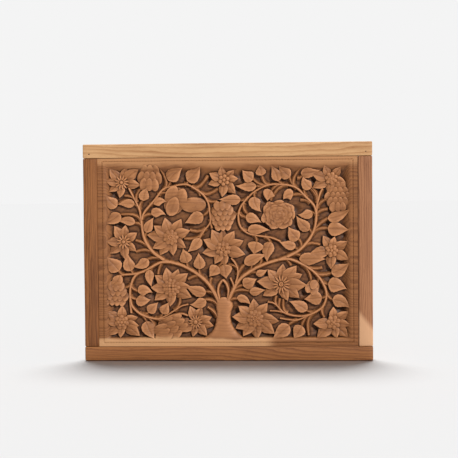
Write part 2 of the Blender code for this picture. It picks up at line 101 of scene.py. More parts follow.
def gouge_marks(x, z):
    """How high the ridges stand between the hollows that single cuts of the gouge leave. The cuts
    lie in rows, and each strays a little from its place."""
    column, row = np.floor(x / GOUGE_LONG), np.floor(z / GOUGE_WIDE)
    nearest = np.full(np.shape(x), 9.0)
    for i in (-1, 0, 1):
        for j in (-1, 0, 1):
            at_x = column + i + 0.5 + GOUGE_STRAY * np.sin(12.9 * (column + i) + 7.8 * (row + j))
            at_z = row + j + 0.5 + GOUGE_STRAY * np.sin(3.9 * (column + i) + 11.3 * (row + j))
            nearest = np.minimum(nearest, (x / GOUGE_LONG - at_x) ** 2 + (z / GOUGE_WIDE - at_z) ** 2)
    return GOUGE_DEEP * np.sqrt(nearest)


def field_share(x, z):
    """0 on the border, 1 on the field's ground."""
    sides = np.minimum(x - FIELD_LEFT, FIELD_RIGHT - x) / SIDE_SLOPE
    ends = np.minimum((z - FIELD_BOTTOM) / BOTTOM_SLOPE, (FIELD_TOP - z) / TOP_SLOPE)
    return smooth(np.minimum(sides, ends))


def board_height(x, z):
    """The height of the front of the board: border, scored line, slope and gouged ground."""
    ground = GROUND_H + gouge_marks(x, z) + SWELL_H * np.sin(x / SWELL_X + 1) * np.sin(z / SWELL_Z)
    for px, pz, reach, deep in POCKETS:
        ground = ground - deep * np.exp(-((x - px) ** 2 + (z - pz) ** 2) / (0.8 * reach) ** 2)
    middle, half = (LINE_TOP + LINE_BOTTOM) / 2, (LINE_TOP - LINE_BOTTOM) / 2
    off_line = np.abs(np.maximum(np.abs(x) - LINE_X, np.abs(z - middle) - half))
    score = LINE_DEEP * np.clip(1 - 2 * off_line / LINE_WIDE, 0, 1)
    return BORDER_H - score + (np.maximum(ground, LOWEST_H) - BORDER_H) * field_share(x, z)


def grid_lines(low, high, lines):
    """Grid lines from low to high: a fine even grid, and closer lines at each scored line."""
    even = np.linspace(low, high, round((high - low) / GRID) + 1)
    clear = [v for v in even if all(abs(v - line) > LINE_WIDE for line in lines)]
    scored = [line + off for line in lines for off in (-LINE_WIDE / 2, 0, LINE_WIDE / 2)]
    return np.array(sorted(clear + scored))


def solid(name, rings, collection=None):
    """A closed body through rings of equally many (x, z, h) points, with flat ends."""
    rings = np.asarray(rings, float)
    rows, around = rings.shape[:2]
    points = np.stack([rings[..., 0], -rings[..., 2], rings[..., 1]], -1).reshape(-1, 3) * MM
    index = np.arange(rows * around).reshape(rows, around)
    beside = np.roll(index, -1, axis=1)
    sides = np.stack([index[:-1], beside[:-1], beside[1:], index[1:]], -1).reshape(-1, 4)
    a, b, c, d = (points[sides[:, k]] for k in range(4))
    volume = (np.cross(a, b) * c).sum() + (np.cross(a, c) * d).sum()
    faces = sides.tolist() + [index[0][::-1].tolist(), index[-1].tolist()]
    for end in (index[0][::-1], index[-1]):
        p = points[end]
        volume += (np.cross(p[0], p[1:-1]) * p[2:]).sum()
    if volume < 0:
        faces = [face[::-1] for face in faces]
    mesh = bpy.data.meshes.new(name)
    mesh.from_pydata(points.tolist(), [], faces)
    made = bpy.data.objects.new(name, mesh)
    (collection or bpy.context.scene.collection).objects.link(made)
    return made


grid_x = grid_lines(-BOARD_X, BOARD_X, (-LINE_X, LINE_X))
grid_z = grid_lines(-BOARD_Z, BOARD_Z, (LINE_BOTTOM, LINE_TOP))
board_rings = []
for z in grid_z:
    top = np.stack([grid_x, np.full(len(grid_x), z), board_height(grid_x, z)], -1)
    back = [(BOARD_X, z, 0), (-BOARD_X, z, 0)]
    board_rings.append(np.concatenate([top, back]))
board = solid("carved_board", board_rings)

punches = bpy.data.collections.new("punches")
bpy.context.scene.collection.children.link(punches)


def punch(x, z):
    """The point of the punch: wide above the border, and narrow a little under the scored line."""
    turns = [2 * math.pi * k / DOT_SIDES for k in range(DOT_SIDES)]
    depths = [(DOT_WIDE * 1.1, DOT_DEEP), (DOT_WIDE * 0.06, -DOT_DEEP - LINE_DEEP * 0.4)]
    return [
        [(x + r * math.cos(t), z + r * math.sin(t), BORDER_H + h) for t in turns] for r, h in depths
    ]


count = round(2 * LINE_X / DOT_STEP)
for k in range(count):
    x = -LINE_X + (k + 0.5) * 2 * LINE_X / count
    solid("punch", punch(x, LINE_TOP), punches)
    solid("punch", punch(x, LINE_BOTTOM), punches)
count = round((LINE_TOP - LINE_BOTTOM) / DOT_STEP)
for k in range(count):
    z = LINE_BOTTOM + (k + 0.5) * (LINE_TOP - LINE_BOTTOM) / count
    solid("punch", punch(-LINE_X, z), punches)
    solid("punch", punch(LINE_X, z), punches)

# The tree's trunk, limbs and twigs. They stand up from the ground as ridges: a narrow rounded crest
# that catches the light, and hollow flanks that the gouge has run down on both sides.
relief = bpy.data.collections.new("relief")
bpy.context.scene.collection.children.link(relief)

# The trunk from its foot upwards, as height, middle and half its width
TRUNK = [
    (-126, -6, 40), (-122.5, -6, 32), (-118, -6, 23.5), (-113, -5.5, 17.5), (-107, -6, 13.5),
    (-100, -6.5, 11),
    (-92, -6.5, 9.8), (-84, -6, 10.4), (-76, -5, 12.3), (-71, -5.5, 11.5), (-66.5, -6, 8), (-64, -6, 3),
]

# Limbs as width at the root, width at the tip, and the points that they grow through
LIMBS = [
    (8.5, 6, [(-12, -72), (-19, -58), (-29, -43), (-45, -29.5), (-64, -19), (-86, -12.5), (-97, -7)]),
    (7.5, 4, [(-90, -11), (-104, -1), (-114, 12), (-119, 25), (-122, 46), (-124, 60), (-130, 73),
              (-139, 91)]),
    (5, 4, [(-121, 46), (-117, 57), (-102, 74.5), (-90, 89), (-76, 93), (-58, 95.5), (-44, 89)]),
    (4.5, 3.5, [(-50, 92.5), (-35, 82), (-27, 70), (-24.5, 55), (-24, 42), (-32, 31), (-39, 20)]),
    (6.5, 4.5, [(-80, -14), (-95, -14.5), (-115, -25), (-130, -32), (-137, -45), (-139, -62),
                (-137.5, -86)]),
    (5.5, 4, [(-118, -27), (-132, -30.5), (-146, -31.5), (-155, -33)]),
    (5, 4, [(-139, -62), (-136, -76), (-125, -87), (-110, -93), (-94, -94.5), (-78, -89), (-66, -87),
            (-57, -90)]),
    (4, 3.5, [(-100, -95), (-88, -90), (-74, -81.5), (-66, -76.5), (-56, -74)]),
    (8.5, 6, [(-1, -72), (7, -55), (16, -40), (32, -27.5), (52, -17.5), (75, -10.5), (92, -4)]),
    (7, 4.5, [(84, -7.5), (101, 2), (114, 16), (122, 31), (124.5, 45), (126, 64), (130, 80), (134, 88)]),
    (5, 4, [(125, 52), (122, 64), (110, 77), (96, 90), (78, 94), (58, 93.5), (38, 84), (25, 71)]),
    (4.5, 3.5, [(30, 78), (18.5, 62), (15.5, 48), (19, 34.5), (30, 25.5), (46, 22), (62, 19.5), (75, 14)]),
    (6, 5, [(72, -11.5), (86, -10.5), (101, -16), (119, -27), (132, -42), (138.5, -60), (133, -78),
            (118, -88)]),
    (4.5, 3.5, [(126, -84), (114, -89.5), (98, -96.5), (86, -96), (73, -94)]),
    (4.5, 3.5, [(122, -86.5), (106, -91), (90, -90), (78, -85.5), (66, -73.5), (56, -71)]),
    (3.5, 3, [(92, -90.5), (80, -86.5), (70, -84), (59, -83.5)]),
    (5, 5, [(-11.5, -68), (-14, -55), (-11.5, -45), (-6.5, -39.5)]),
    (5, 5, [(-7, -39.5), (-2, -45), (0.8, -55), (-1, -68)]),
    (4.5, 3.5, [(1, -68), (7, -56), (8, -47), (3.5, -36.5)]),
    (4.5, 3.5, [(11, -44), (14, -34), (14, -24), (10, -15), (5, -9)]),
]

# Bare twigs, as where each leaves its limb and where it ends
TWIGS = [
    (-128, 71, -122, 90), (-130, 73, -145, 80), (-97, 81, -78, 80), (-90, 88, -96, 119),
    (-50, 92.5, -27, 108), (-44, 89, -38, 79), (-38, 84, -13, 89), (-30, 75, -14, 71),
    (-24, 46, -22, 33), (-30, 34, -53, 31), (-35, 27, -61, 19), (-108, 4, -130, 17),
    (-103, -2, -130, 1), (126, 60, 139, 73), (125, 50, 141, 59), (106, 7, 130, 9),
    (97, 90, 104, 118), (112, 75, 109, 93), (117, 68, 103, 72), (86, 93, 61, 72),
    (24, 69, 29, 52), (17, 56, 8, 53), (-86, -13, -99, -31), (-36, -36, -56, -38.5),
    (-137, -44, -150, -50), (109, -21, 133, -23), (104, -18, 117, -41), (126, -34, 126, -43),
    (76, -10, 89, -20), (133, -78, 135, -93), (43, -21, 47, -10), (69, -76, 68, -62),
    (84, -87, 78, -67), (77, -85, 73, -66), (-76, -83, -68, -64), (-119, -89, -101, -113),
    (-104, -94, -93, -100), (-15, -92, -29, -78), (-24, -49, -23, -36), (14, -25, 1, -18.5),
    (29, -30, 34, -18), (121, -86, 113, -118), (126, 68, 117, 88),
]
LIMB_STEP, LIMB_SLIM, BRANCH_RISE = 3.2, 0.8, 0.8
TWIG_STEP, TWIG_WIDE, TWIG_ROOT, TWIG_TAPER, TWIG_LEAN = 3.0, 4.2, 1.3, 0.5, 0.45
LIMB_H, LIMB_TIP_H, TWIG_H, TWIG_TIP_H = 16.0, 15.2, 15.3, 14.9
FLANK_H, FLANK_REACH = 10.0, 1.1
RISE_H, RISE_SIDES, RISE_ENDS = 1.9, 13, 11
CREST = [(-1.0, 0.0), (-0.68, 0.24), (-0.45, 0.6), (-0.24, 0.93), (0.0, 1.0),
         (0.24, 0.93), (0.45, 0.6), (0.68, 0.24), (1.0, 0.0)]
TWIG_CREST = CREST[::2]


def border_rise(x, z):
    """Near the field's edge the carving rises to run out into the border."""
    sides = np.minimum(x - FIELD_LEFT, FIELD_RIGHT - x) / RISE_SIDES
    ends = np.minimum(z - FIELD_BOTTOM, FIELD_TOP - 2 - z) / RISE_ENDS
    return RISE_H * (1 - smooth(np.minimum(sides, ends)))


def crosswise(spine):
    """At each point of a spine, the unit step to its left."""
    along = np.gradient(spine, axis=0)
    along /= np.linalg.norm(along, axis=1, keepdims=True)
    return np.stack([-along[:, 1], along[:, 0]], -1)


def ridge(name, spine, widths, tops, crest=CREST):
    """A branch: a crest along the spine with hollow flanks, its foot buried in the board."""
    rings = []
    for point, left, width, top in zip(spine, crosswise(spine), widths, tops):
        top = top + border_rise(*point) * BRANCH_RISE
        ring = [(*(point + left * width * crest[0][0] * FLANK_REACH), FOOT_H)]
        for off, share in crest:
            ring.append((*(point + left * width * off), FLANK_H + (top - FLANK_H) * share))
        ring.append((*(point + left * width * crest[-1][0] * FLANK_REACH), FOOT_H))
        rings.append(ring)
    return solid(name, rings, relief)


def curve_through(points, step):
    """Points about one step apart on a smooth curve through the given ones."""
    knots = [np.array(p, float) for p in points]
    knots = [2 * knots[0] - knots[1]] + knots + [2 * knots[-1] - knots[-2]]
    found = [knots[1]]
    for a, b, c, d in zip(knots, knots[1:], knots[2:], knots[3:]):
        parts = max(1, round(np.linalg.norm(c - b) / step))
        for k in range(1, parts + 1):
            t = k / parts
            found.append(0.5 * (2 * b + (c - a) * t + (2 * a - 5 * b + 4 * c - d) * t * t
                                + (3 * b - 3 * c + d - a) * t ** 3))
    return np.array(found)


limb_routes = []
for n, (root, tip, points) in enumerate(LIMBS):
    route = curve_through(points, LIMB_STEP)
    share = np.linspace(0, 1, len(route))
    widths = LIMB_SLIM * (root + (tip - root) * share)
    ridge(f"limb_{n}", route, widths, LIMB_H + (LIMB_TIP_H - LIMB_H) * share)
    limb_routes.append(route)
all_limb_points = np.concatenate(limb_routes)
all_limb_ways = np.concatenate([np.gradient(route, axis=0) for route in limb_routes])


def twig_route(start, end):
    """A twig leaves its limb along the limb's own growth and bends over to its end."""
    nearest = np.argmin(((all_limb_points - start) ** 2).sum(1))
    lean = all_limb_ways[nearest] / np.linalg.norm(all_limb_ways[nearest])
    if lean @ (end - start) < 0:
        lean = -lean
    length = np.linalg.norm(end - start)
    middle = start + lean * length * TWIG_LEAN
    t = np.linspace(0, 1, max(3, round(length / TWIG_STEP) + 1))[:, None]
    return start * (1 - t) ** 2 + middle * 2 * t * (1 - t) + end * t * t


def twig(name, start, end):
    route = twig_route(np.array(start, float), np.array(end, float))
    share = np.linspace(0, 1, len(route))
    widths = TWIG_WIDE * (TWIG_ROOT - TWIG_TAPER * share)
    ridge(name, route, widths, TWIG_H + (TWIG_TIP_H - TWIG_H) * share, TWIG_CREST)


for n, (x0, z0, x1, z1) in enumerate(TWIGS):
    twig(f"twig_{n}", (x0, z0), (x1, z1))

TRUNK_SECTION = [(-1.06, 0.1), (-1.0, 0.45), (-0.9, 0.72), (-0.72, 0.87), (-0.4, 0.96), (0, 1.0),
                 (0.4, 0.97), (0.72, 0.88), (0.9, 0.72), (1.0, 0.45), (1.06, 0.1)]
TRUNK_H, TRUNK_REACH, TRUNK_STEP = 16.8, 1.08, 2.5
FLARE_H, FLARE_Z, NECK_DROP, NECK_Z, BLEND = 0.9, -112, 0.8, -74, 12
trunk_line = curve_through([(z, x) for z, x, _ in TRUNK], TRUNK_STEP)
trunk_halves = np.interp(trunk_line[:, 0], [z for z, _, _ in TRUNK], [half for _, _, half in TRUNK])
trunk_rings = []
for (z, x), half in zip(trunk_line, trunk_halves):
    top = TRUNK_H + FLARE_H * smooth((FLARE_Z - z) / BLEND) - NECK_DROP * smooth((z - NECK_Z) / BLEND)
    ring = [(x - half * TRUNK_REACH, z, FOOT_H)]
    ring += [(x + off * half, z, FLANK_H + (top - FLANK_H) * share) for off, share in TRUNK_SECTION]
    ring.append((x + half * TRUNK_REACH, z, FOOT_H))
    trunk_rings.append(ring)
solid("trunk", trunk_rings, relief)

# Leaves. Each is a thin-looking pointed blade with a fine tooth edge, cut in under the rim. The
# knife draws a groove down its middle, and both halves swell a little from it.

# Each row: where the stalk leaves its limb, the foot and the tip of the blade, its width and bend
LEAVES = [
    (-124, 60, -118, 73, -112, 92, 13, 1), (-134, 69, -156, 65, -172, 82, 15, 1),
    (-125, 63, -131, 68, -155, 68, 11, -1), (-109, 67, -103, 68, -85, 71, 11, 2),
    (-87, 90, -82, 101, -62, 119, 18, 1), (-60, 95.5, -56, 101, -37, 121, 18, -1),
    (28, 75, 19, 73, -12, 74, 13, 0), (57, 93.5, 37, 102, 22, 115, 15, 1),
    (54, 93, 41, 93, 12, 93, 12, 1), (60, 93.5, 49, 107, 46, 122, 13, 0),
    (80, 94, 72, 99, 62, 121, 13, -1), (98, 88, 89, 105, 73, 121, 15, 1),
    (76, 94, 62, 86, 57, 71, 15, -1), (40, 85, 38, 77, 48, 56, 15, -2),
    (110, 77, 93, 80, 79, 73, 14, -2), (126, 72, 118, 89, 107, 106, 13, 2),
    (99, 103, 104, 110, 131, 114, 13, -1), (-122, 42, -152, 55, -174, 41, 15, 1),
    (-121, 36, -131, 41, -157, 44, 11, -2), (-117, 18, -114, 28, -104, 49, 12, 1),
    (-121, 47, -107, 54, -87, 53, 12, 2), (-26, 62, -34, 52, -60, 41, 16, 0),
    (-34, 31, -38, 19, -57, 0, 13, 1), (17, 56, 26, 49, 48, 41, 13, 1),
    (20, 33, 29, 30, 60, 30, 13, 1), (36, 24, 41, 14, 37, -4, 20, 0),
    (52, 21, 62, 13, 56, -15, 15, -2), (102, 3, 96, 8, 73, 14, 12, 1),
    (102, 3, 100, 17, 86, 35, 16, 1), (124.5, 50, 119, 56, 99, 52, 12, 2),
    (118, 22, 115, 30, 97, 50, 14, 1), (121, 27, 141, 46, 173, 60, 13, -2),
    (119, 24, 141, 32, 171, 30, 18, 0), (-147, -31.5, -154, -26, -171, -6, 19, 0),
    (-132, -30.5, -137, -26, -141, -2, 15, 1), (-92, -10, -113, -9.5, -134, -20, 13, 2),
    (-148, -32, -153, -32, -172, -48, 13, 3), (-137, -45, -127, -56, -107, -57, 14, 2),
    (-139, -60, -130, -67, -109, -67, 14, -1), (-105, -19, -110, -25, -108, -49, 11, -1),
    (-17, -62, -31, -58, -60, -47, 14, 1), (-15, -75, -32, -67, -54, -74, 13, 2),
    (26, -31, 40, -31, 56, -25, 9, -1), (2, -63, 31, -57, 53, -54, 11, 0),
    (8, -56, 22, -48, 41, -38, 16, 0), (1, -71, 13, -65, 32, -75, 10, 2),
    (-122, -88, -113, -85, -99, -71, 13, 0), (-100, -95, -93, -87, -84, -71, 13, 0),
    (-126, -86, -116, -98, -104, -123, 17, -1), (138, -62, 132, -65, 107, -67, 17, 0),
    (138, -58, 147, -68, 171, -80, 16, 2), (92, -4, 101, -10.5, 138, -11, 16, 0),
    (124, -85, 111, -83, 86, -70, 14, -1), (116, -89, 104, -105, 92, -123, 16, 0),
    (98, -96, 86, -104, 62, -124, 17, 0), (131, -41, 141, -46, 167, -53, 19, 1),
    (121, -29, 146, -31, 171, -16, 16, -1), (-53, -25, -57, -15, -63, 5, 16, 0),
    (-37, -36, -39, -24, -41, -1, 15, 0), (14, -33, 24, -17, 56, -4, 14, 1),
    (-9, -12, -14, -20, -26, -35, 15, 0), (-5, -12, -5, -18, -2, -38, 19, 0),
]
LEAF_H, LEAF_RIM_DROP, LEAF_GROOVE = 16.2, 0.9, 0.6
LEAF_WIDE, LEAF_BEND, LEAF_TEETH, LEAF_TILT, STALK_LAP = 1.1, 1.5, 0.03, 0.9, 0.15
RIM_HALF, GROOVE_WIDE, OVER_BORDER = 0.15, 0.8, 1.2
ACROSS = np.array([-1, -0.86, -0.62, -0.34, -0.1, 0, 0.1, 0.34, 0.62, 0.86, 1])
COARSE_ACROSS = np.array([-1, -0.7, -0.2, 0, 0.2, 0.7, 1])


def blade(name, base, tip, width, bend=0.0, top=LEAF_H, drop=LEAF_RIM_DROP, groove=LEAF_GROOVE,
          belly=0.66, point=1.5, teeth=0.0, tilt=0.0, rows=18, across=ACROSS, under=0.82,
          arch=0.9, lift=0.0):
    """A leaf, petal or scale: an outline that swells and comes to a point, a crowned top with a
    groove down its middle, and sides cut in under the rim. A small belly swells early, and a large
    point narrows to a sharper tip. Drop lowers the rim, and lift raises the tip over the foot."""
    base, tip = np.array(base, float), np.array(tip, float)
    way = tip - base
    left = np.array([-way[1], way[0]]) / np.linalg.norm(way)
    middle = (base + tip) / 2 + left * bend * 2
    u = 0.5 - 0.5 * np.cos(np.linspace(0, math.pi, rows))
    t = u[:, None]
    spine = base * (1 - t) ** 2 + middle * 2 * t * (1 - t) + tip * t * t
    peak = belly / (belly + point)
    full = peak ** belly * (1 - peak) ** point
    shape = np.clip(u, 0, 1) ** belly * np.clip(1 - u, 0, 1) ** point / full
    halves = width / 2 * shape * (1 + teeth * (np.arange(rows) % 2 * 2 - 1)) + RIM_HALF
    crown = top + arch * (np.sin(math.pi * u) ** 0.8 - 0.6) - 0.5 * u ** 3 + lift * (2 * u - 1)
    rings = []
    for point_at, step, half, high in zip(spine, crosswise(spine), halves, crown):
        size = min(1, half / (width * 0.3))
        heights = high - drop * size * np.abs(across) ** 2.4 + tilt * across * size
        heights -= groove * size * np.exp(-(across * half / GROOVE_WIDE) ** 2)
        ring = [(*(point_at - step * half * under), FOOT_H)]
        for v, h in zip(across, heights):
            x, z = point_at + step * half * v
            ring.append((x, z, min(h + border_rise(x, z), BORDER_H + OVER_BORDER)))
        ring.append((*(point_at + step * half * under), FOOT_H))
        rings.append(ring)
    return solid(name, rings, relief)


for n, (sx, sz, bx, bz, tx, tz, width, bend) in enumerate(LEAVES):
    twig(f"stalk_{n}", (sx, sz), (bx + STALK_LAP * (tx - bx), bz + STALK_LAP * (tz - bz)))
    blade(f"leaf_{n}", (bx, bz), (tx, tz), width * LEAF_WIDE, bend * LEAF_BEND, teeth=LEAF_TEETH,
          tilt=LEAF_TILT * math.sin(7 * n + 2))

# Flowers. Pointed petals in two layers stand round a heart, and each heart is cut in its own way:
# thin rays, small round lobes, knobs or a ringed boss.

# Each row: the middle of the flower, and the angle and reach of every petal
FLOWERS = [
    (-149, 99, [(130, 26), (72, 23), (37, 30), (-8, 27), (262, 22), (216, 22), (173, 23)]),
    (-4, 101, [(154, 23), (195, 23), (263, 24), (310, 25), (5, 20), (45, 20), (101, 20)]),
    (146, 102, [(165, 28), (207, 29), (118, 21), (50, 21), (-20, 22), (-52, 22), (260, 22)]),
    (-147, 15, [(120, 26), (83, 24), (34, 23), (-37, 22), (-85, 25), (219, 26), (178, 25)]),
    (-80, 21, [(106, 29), (60, 30), (19, 29), (-35, 26), (-83, 26), (-122, 30), (-149, 30),
               (174, 34), (145, 29)]),
    (-6, 4, [(120, 32), (90, 28), (58, 30), (22, 31), (-14, 32), (-88, 25), (240, 24), (190, 30),
             (154, 31)]),
    (146, 1, [(186, 30), (120, 24), (76, 20), (30, 26), (-29, 27), (-92, 26)]),
    (-80, -50, [(104, 29), (69, 28), (40, 31), (-26, 32), (-94, 27), (217, 30), (180, 29),
                (143, 29), (3, 27)]),
    (75, -46, [(132, 28), (84, 29), (50, 34), (25, 33), (-2, 36), (-37, 32), (-68, 25), (212, 30),
               (173, 34)]),
    (-151, -99, [(88, 24), (141, 26), (180, 22), (222, 27), (265, 22), (-37, 32), (-12, 25),
                 (17, 24)]),
    (-46, -99, [(109, 24), (67, 23), (17, 24), (-13, 26), (-50, 25), (259, 21), (211, 26),
                (186, 27)]),
    (38, -94, [(143, 29), (94, 28), (50, 28), (-7, 34), (-38, 35), (-85, 30), (236, 30), (207, 31),
               (176, 32)]),
    (148, -100, [(90, 22), (36, 26), (-9, 24), (-46, 29), (-80, 23), (224, 32), (184, 28)]),
]
PETAL_H, PETAL_STEP, PETAL_WIDE, PETAL_ROOT = 15.0, 0.7, 0.53, 4
HEART_LIFT, HEART_OVER, RAY_WIDE, LOBE_WIDE = 0.6, 0.6, 2.3, 0.74
SEAT_WIDE, SEAT = 9, [(1.0, 13.8), (0.6, 14.6), (0.1, 15.2)]

# The hearts, flower by flower, as rows of (kind, count, distance out, size, height, first angle)
HEARTS = [
    [("ray", 12, 3, 11, 16.8, 10), ("knob", 1, 0, 2.6, 17.4, 0)],
    [("knob", 6, 5.4, 3.0, 17.2, 20), ("knob", 1, 0, 2.8, 17.6, 0)],
    [("lobe", 7, 6, 8, 16.9, 20), ("lobe", 5, 3, 6.5, 17.5, 50), ("knob", 1, 0, 2.6, 17.9, 0)],
    [("ray", 11, 3, 10.5, 16.8, 0), ("knob", 1, 0, 2.8, 17.4, 0)],
    [("lobe", 9, 7.5, 9, 16.6, 0), ("lobe", 8, 4.6, 7, 17.1, 22), ("ring", 1, 0, 4.4, 17.8, 0)],
    [("lobe", 9, 7.5, 9, 16.6, 10), ("knob", 5, 5.6, 3.0, 17.4, 20), ("ring", 1, 0, 3.4, 17.8, 0)],
    [("lobe", 7, 6, 8.5, 16.7, 0), ("knob", 5, 4.4, 2.8, 17.4, 30), ("knob", 1, 0, 2.6, 17.8, 0)],
    [("lobe", 11, 9.5, 9, 16.4, 0), ("lobe", 8, 6, 7.5, 17, 22), ("knob", 4, 3.4, 2.6, 17.6, 45)],
    [("ray", 14, 4, 13.5, 16.8, 0), ("ring", 1, 0, 3.4, 17.7, 0)],
    [("lobe", 7, 7, 9.5, 16.6, 40), ("knob", 6, 4.4, 2.8, 17.3, 0), ("knob", 1, 0, 2.6, 17.8, 0)],
    [("ray", 13, 3.4, 10, 16.7, 0), ("knob", 1, 0, 3.2, 17.6, 0)],
    [("lobe", 10, 8.5, 9.5, 16.5, 15), ("lobe", 7, 5, 7, 17.1, 0), ("ring", 1, 0, 3.6, 17.8, 0)],
    [("lobe", 7, 6.5, 9, 16.7, 20), ("lobe", 4, 3, 7, 17.3, 50), ("knob", 1, 0, 2.6, 17.8, 0)],
]


def polar(x, z, angle, reach):
    turn = math.radians(angle)
    return x + reach * math.cos(turn), z + reach * math.sin(turn)


def dome(name, x, z, radius, levels, sides=12, squeeze=1.0):
    """A knob or boss: circles that follow a turned profile of (share of the radius, height)."""
    turns = [2 * math.pi * k / sides for k in range(sides)]
    rings = []
    for share, h in [(1.0, FOOT_H)] + levels:
        r = radius * share
        rings.append([(x + r * math.cos(t), z + r * squeeze * math.sin(t), h) for t in turns])
    return solid(name, rings, relief)


def knob(name, x, z, radius, top):
    dome(name, x, z, radius, [(1.0, top - 1.3), (0.82, top - 0.6), (0.5, top - 0.15), (0.12, top)], 10)


def ringed_boss(name, x, z, radius, top):
    levels = [(1.0, top - 1.1), (0.88, top - 0.3), (0.72, top), (0.56, top - 0.3), (0.44, top - 0.9),
              (0.32, top - 0.9), (0.2, top - 0.3), (0.05, top - 0.15)]
    dome(name, x, z, radius, levels, 16)


def flower(name, x, z, petals, heart):
    for k, (angle, reach) in enumerate(petals):
        above = 0.0 if k % 2 else PETAL_STEP
        blade(f"{name}_petal_{k}", polar(x, z, angle, PETAL_ROOT), polar(x, z, angle, reach),
              reach * PETAL_WIDE, 0.5 * math.sin(3 * k + x), PETAL_H + above, drop=1.0, belly=0.75,
              point=1.15, teeth=LEAF_TEETH, tilt=0.95, rows=13, under=0.8, arch=1.2, lift=0.5)
    dome(f"{name}_seat", x, z, SEAT_WIDE, SEAT, 14)
    for row, (kind, many, out, size, height, first) in enumerate(heart):
        top = min(height + HEART_LIFT, BORDER_H + HEART_OVER)
        for k in range(many):
            angle = first + 360 * k / many
            label = f"{name}_{kind}_{row}_{k}"
            here = polar(x, z, angle, out)
            if kind == "ray":
                blade(label, here, polar(x, z, angle, size), RAY_WIDE, 0, top, drop=0.7, groove=0.0,
                      belly=0.5, point=0.7, rows=6, across=COARSE_ACROSS[::3], arch=0.3)
            elif kind == "lobe":
                blade(label, polar(x, z, angle, out - size * 0.45), polar(x, z, angle, out + size * 0.42),
                      size * LOBE_WIDE, 0, top, drop=1.5, groove=0.3, belly=0.55, point=0.5, rows=8,
                      across=COARSE_ACROSS, arch=0.7, lift=0.15)
            elif kind == "ring":
                ringed_boss(label, *here, size, top)
            else:
                knob(label, *here, size, top)


for n, ((x, z, petals), heart) in enumerate(zip(FLOWERS, HEARTS)):
    flower(f"flower_{n}", x, z, petals, heart)

# Cones, buds and the round rosette. Scales overlap like roof tiles from the foot to the tip, on
# a smooth core, and each tip stands clear of the scale behind it.

# Each row: the foot, the tip, the width, the rows of scales, and how many stand to each side
CONES = [
    (-110, 89, -108, 123, 27, 3, 3), (-80, 55, -67, 91, 30, 2, 2), (155, 57, 155, 97, 31, 5, 4),
    (-7, 70, -6, 30, 32, 5, 4), (-158, -43, -161, -75, 32, 4, 4), (-100, -120, -62, -95, 28, 3, 3),
    (123, -42, 115, -59, 18, 2, 2),
]
CONE_H, CORE_WIDE, SCALE_WIDE, SCALE_LONG, SCALE_OVER = 15.4, 0.98, 1.22, 1.9, 1.5


def cone(name, foot, tip, width, rows, across):
    foot, tip = np.array(foot, float), np.array(tip, float)
    length = np.linalg.norm(tip - foot)
    axis = (tip - foot) / length
    left = np.array([-axis[1], axis[0]])
    blade(f"{name}_core", foot - axis, tip, width * CORE_WIDE, 0, CONE_H - 0.5, drop=1.2, groove=0,
          belly=0.45, point=0.45, rows=14, across=COARSE_ACROSS)
    pitch, step = width / across, length / (rows + 0.6)
    for row in range(rows):
        way_up = (row + 0.55) / (rows + 0.2)
        half = width / 2 * math.sqrt(max(0.0, 1 - (2 * way_up - 1) ** 2)) ** 0.7
        for k in range(-across, across + 1):
            off = (k + 0.5 * (row % 2)) * pitch
            if abs(off) < half * 1.02:
                start = foot + axis * step * (row - 0.25) + left * off * 0.94
                end = start + axis * step * SCALE_LONG - left * off * 0.12
                top = CONE_H + SCALE_OVER - 0.2 * row - 1.4 * (off / width * 2) ** 2
                blade(f"{name}_scale_{row}_{k + across}", start, end, pitch * SCALE_WIDE, 0, top,
                      drop=1.0, groove=0.2, belly=0.5, point=0.6, tilt=0.3 * math.sin(3 * k + row),
                      rows=9, across=COARSE_ACROSS, arch=0.2, lift=1.7)


for n, (fx, fz, tx, tz, width, rows, across) in enumerate(CONES):
    cone(f"cone_{n}", (fx, fz), (tx, tz), width, rows, across)

# A broad smooth lobe leans out of the bud on the left
blade("bud_lobe", (-66, 66), (-30, 67), 21, 0, 15.8, drop=1.6, groove=0.3, belly=0.5, point=0.45,
      rows=16)

ROSETTE_X, ROSETTE_Z, ROSETTE_WIDE, ROSETTE_TALL = 72, 52, 23.5, 20
# Rings of scales from the outside in, as share of the width, count and height
ROSETTE_ROWS = [(1.0, 13, 15.2), (0.78, 11, 15.8), (0.56, 9, 16.3), (0.35, 6, 16.8), (0.16, 4, 17.2)]
ROSETTE_SEAT = [(1.0, 14.2), (0.6, 15.6), (0.1, 16.4)]
dome("rosette_seat", ROSETTE_X, ROSETTE_Z, ROSETTE_WIDE * 0.86, ROSETTE_SEAT, 24,
     ROSETTE_TALL / ROSETTE_WIDE)
for row, (share, many, top) in enumerate(ROSETTE_ROWS):
    for k in range(many):
        turn = 2 * math.pi * (k + 0.5 * (row % 2)) / many + 0.15 * math.sin(5 * k + row)
        out_x, out_z = math.cos(turn) * ROSETTE_WIDE, math.sin(turn) * ROSETTE_TALL
        inner, outer = share - 0.36, share * (1 + 0.04 * math.sin(3 * k + 2 * row))
        blade(f"rosette_{row}_{k}", (ROSETTE_X + out_x * inner, ROSETTE_Z + out_z * inner),
              (ROSETTE_X + out_x * outer, ROSETTE_Z + out_z * outer),
              2.5 * math.pi * ROSETTE_TALL * share / many + 1.5, 1.2 * math.sin(2 * k + row), top,
              drop=1.1, groove=0.3, belly=0.5, point=0.4, teeth=0.05, tilt=0.4 * math.sin(4 * k),
              rows=9, across=COARSE_ACROSS, arch=0.3, lift=0.9)


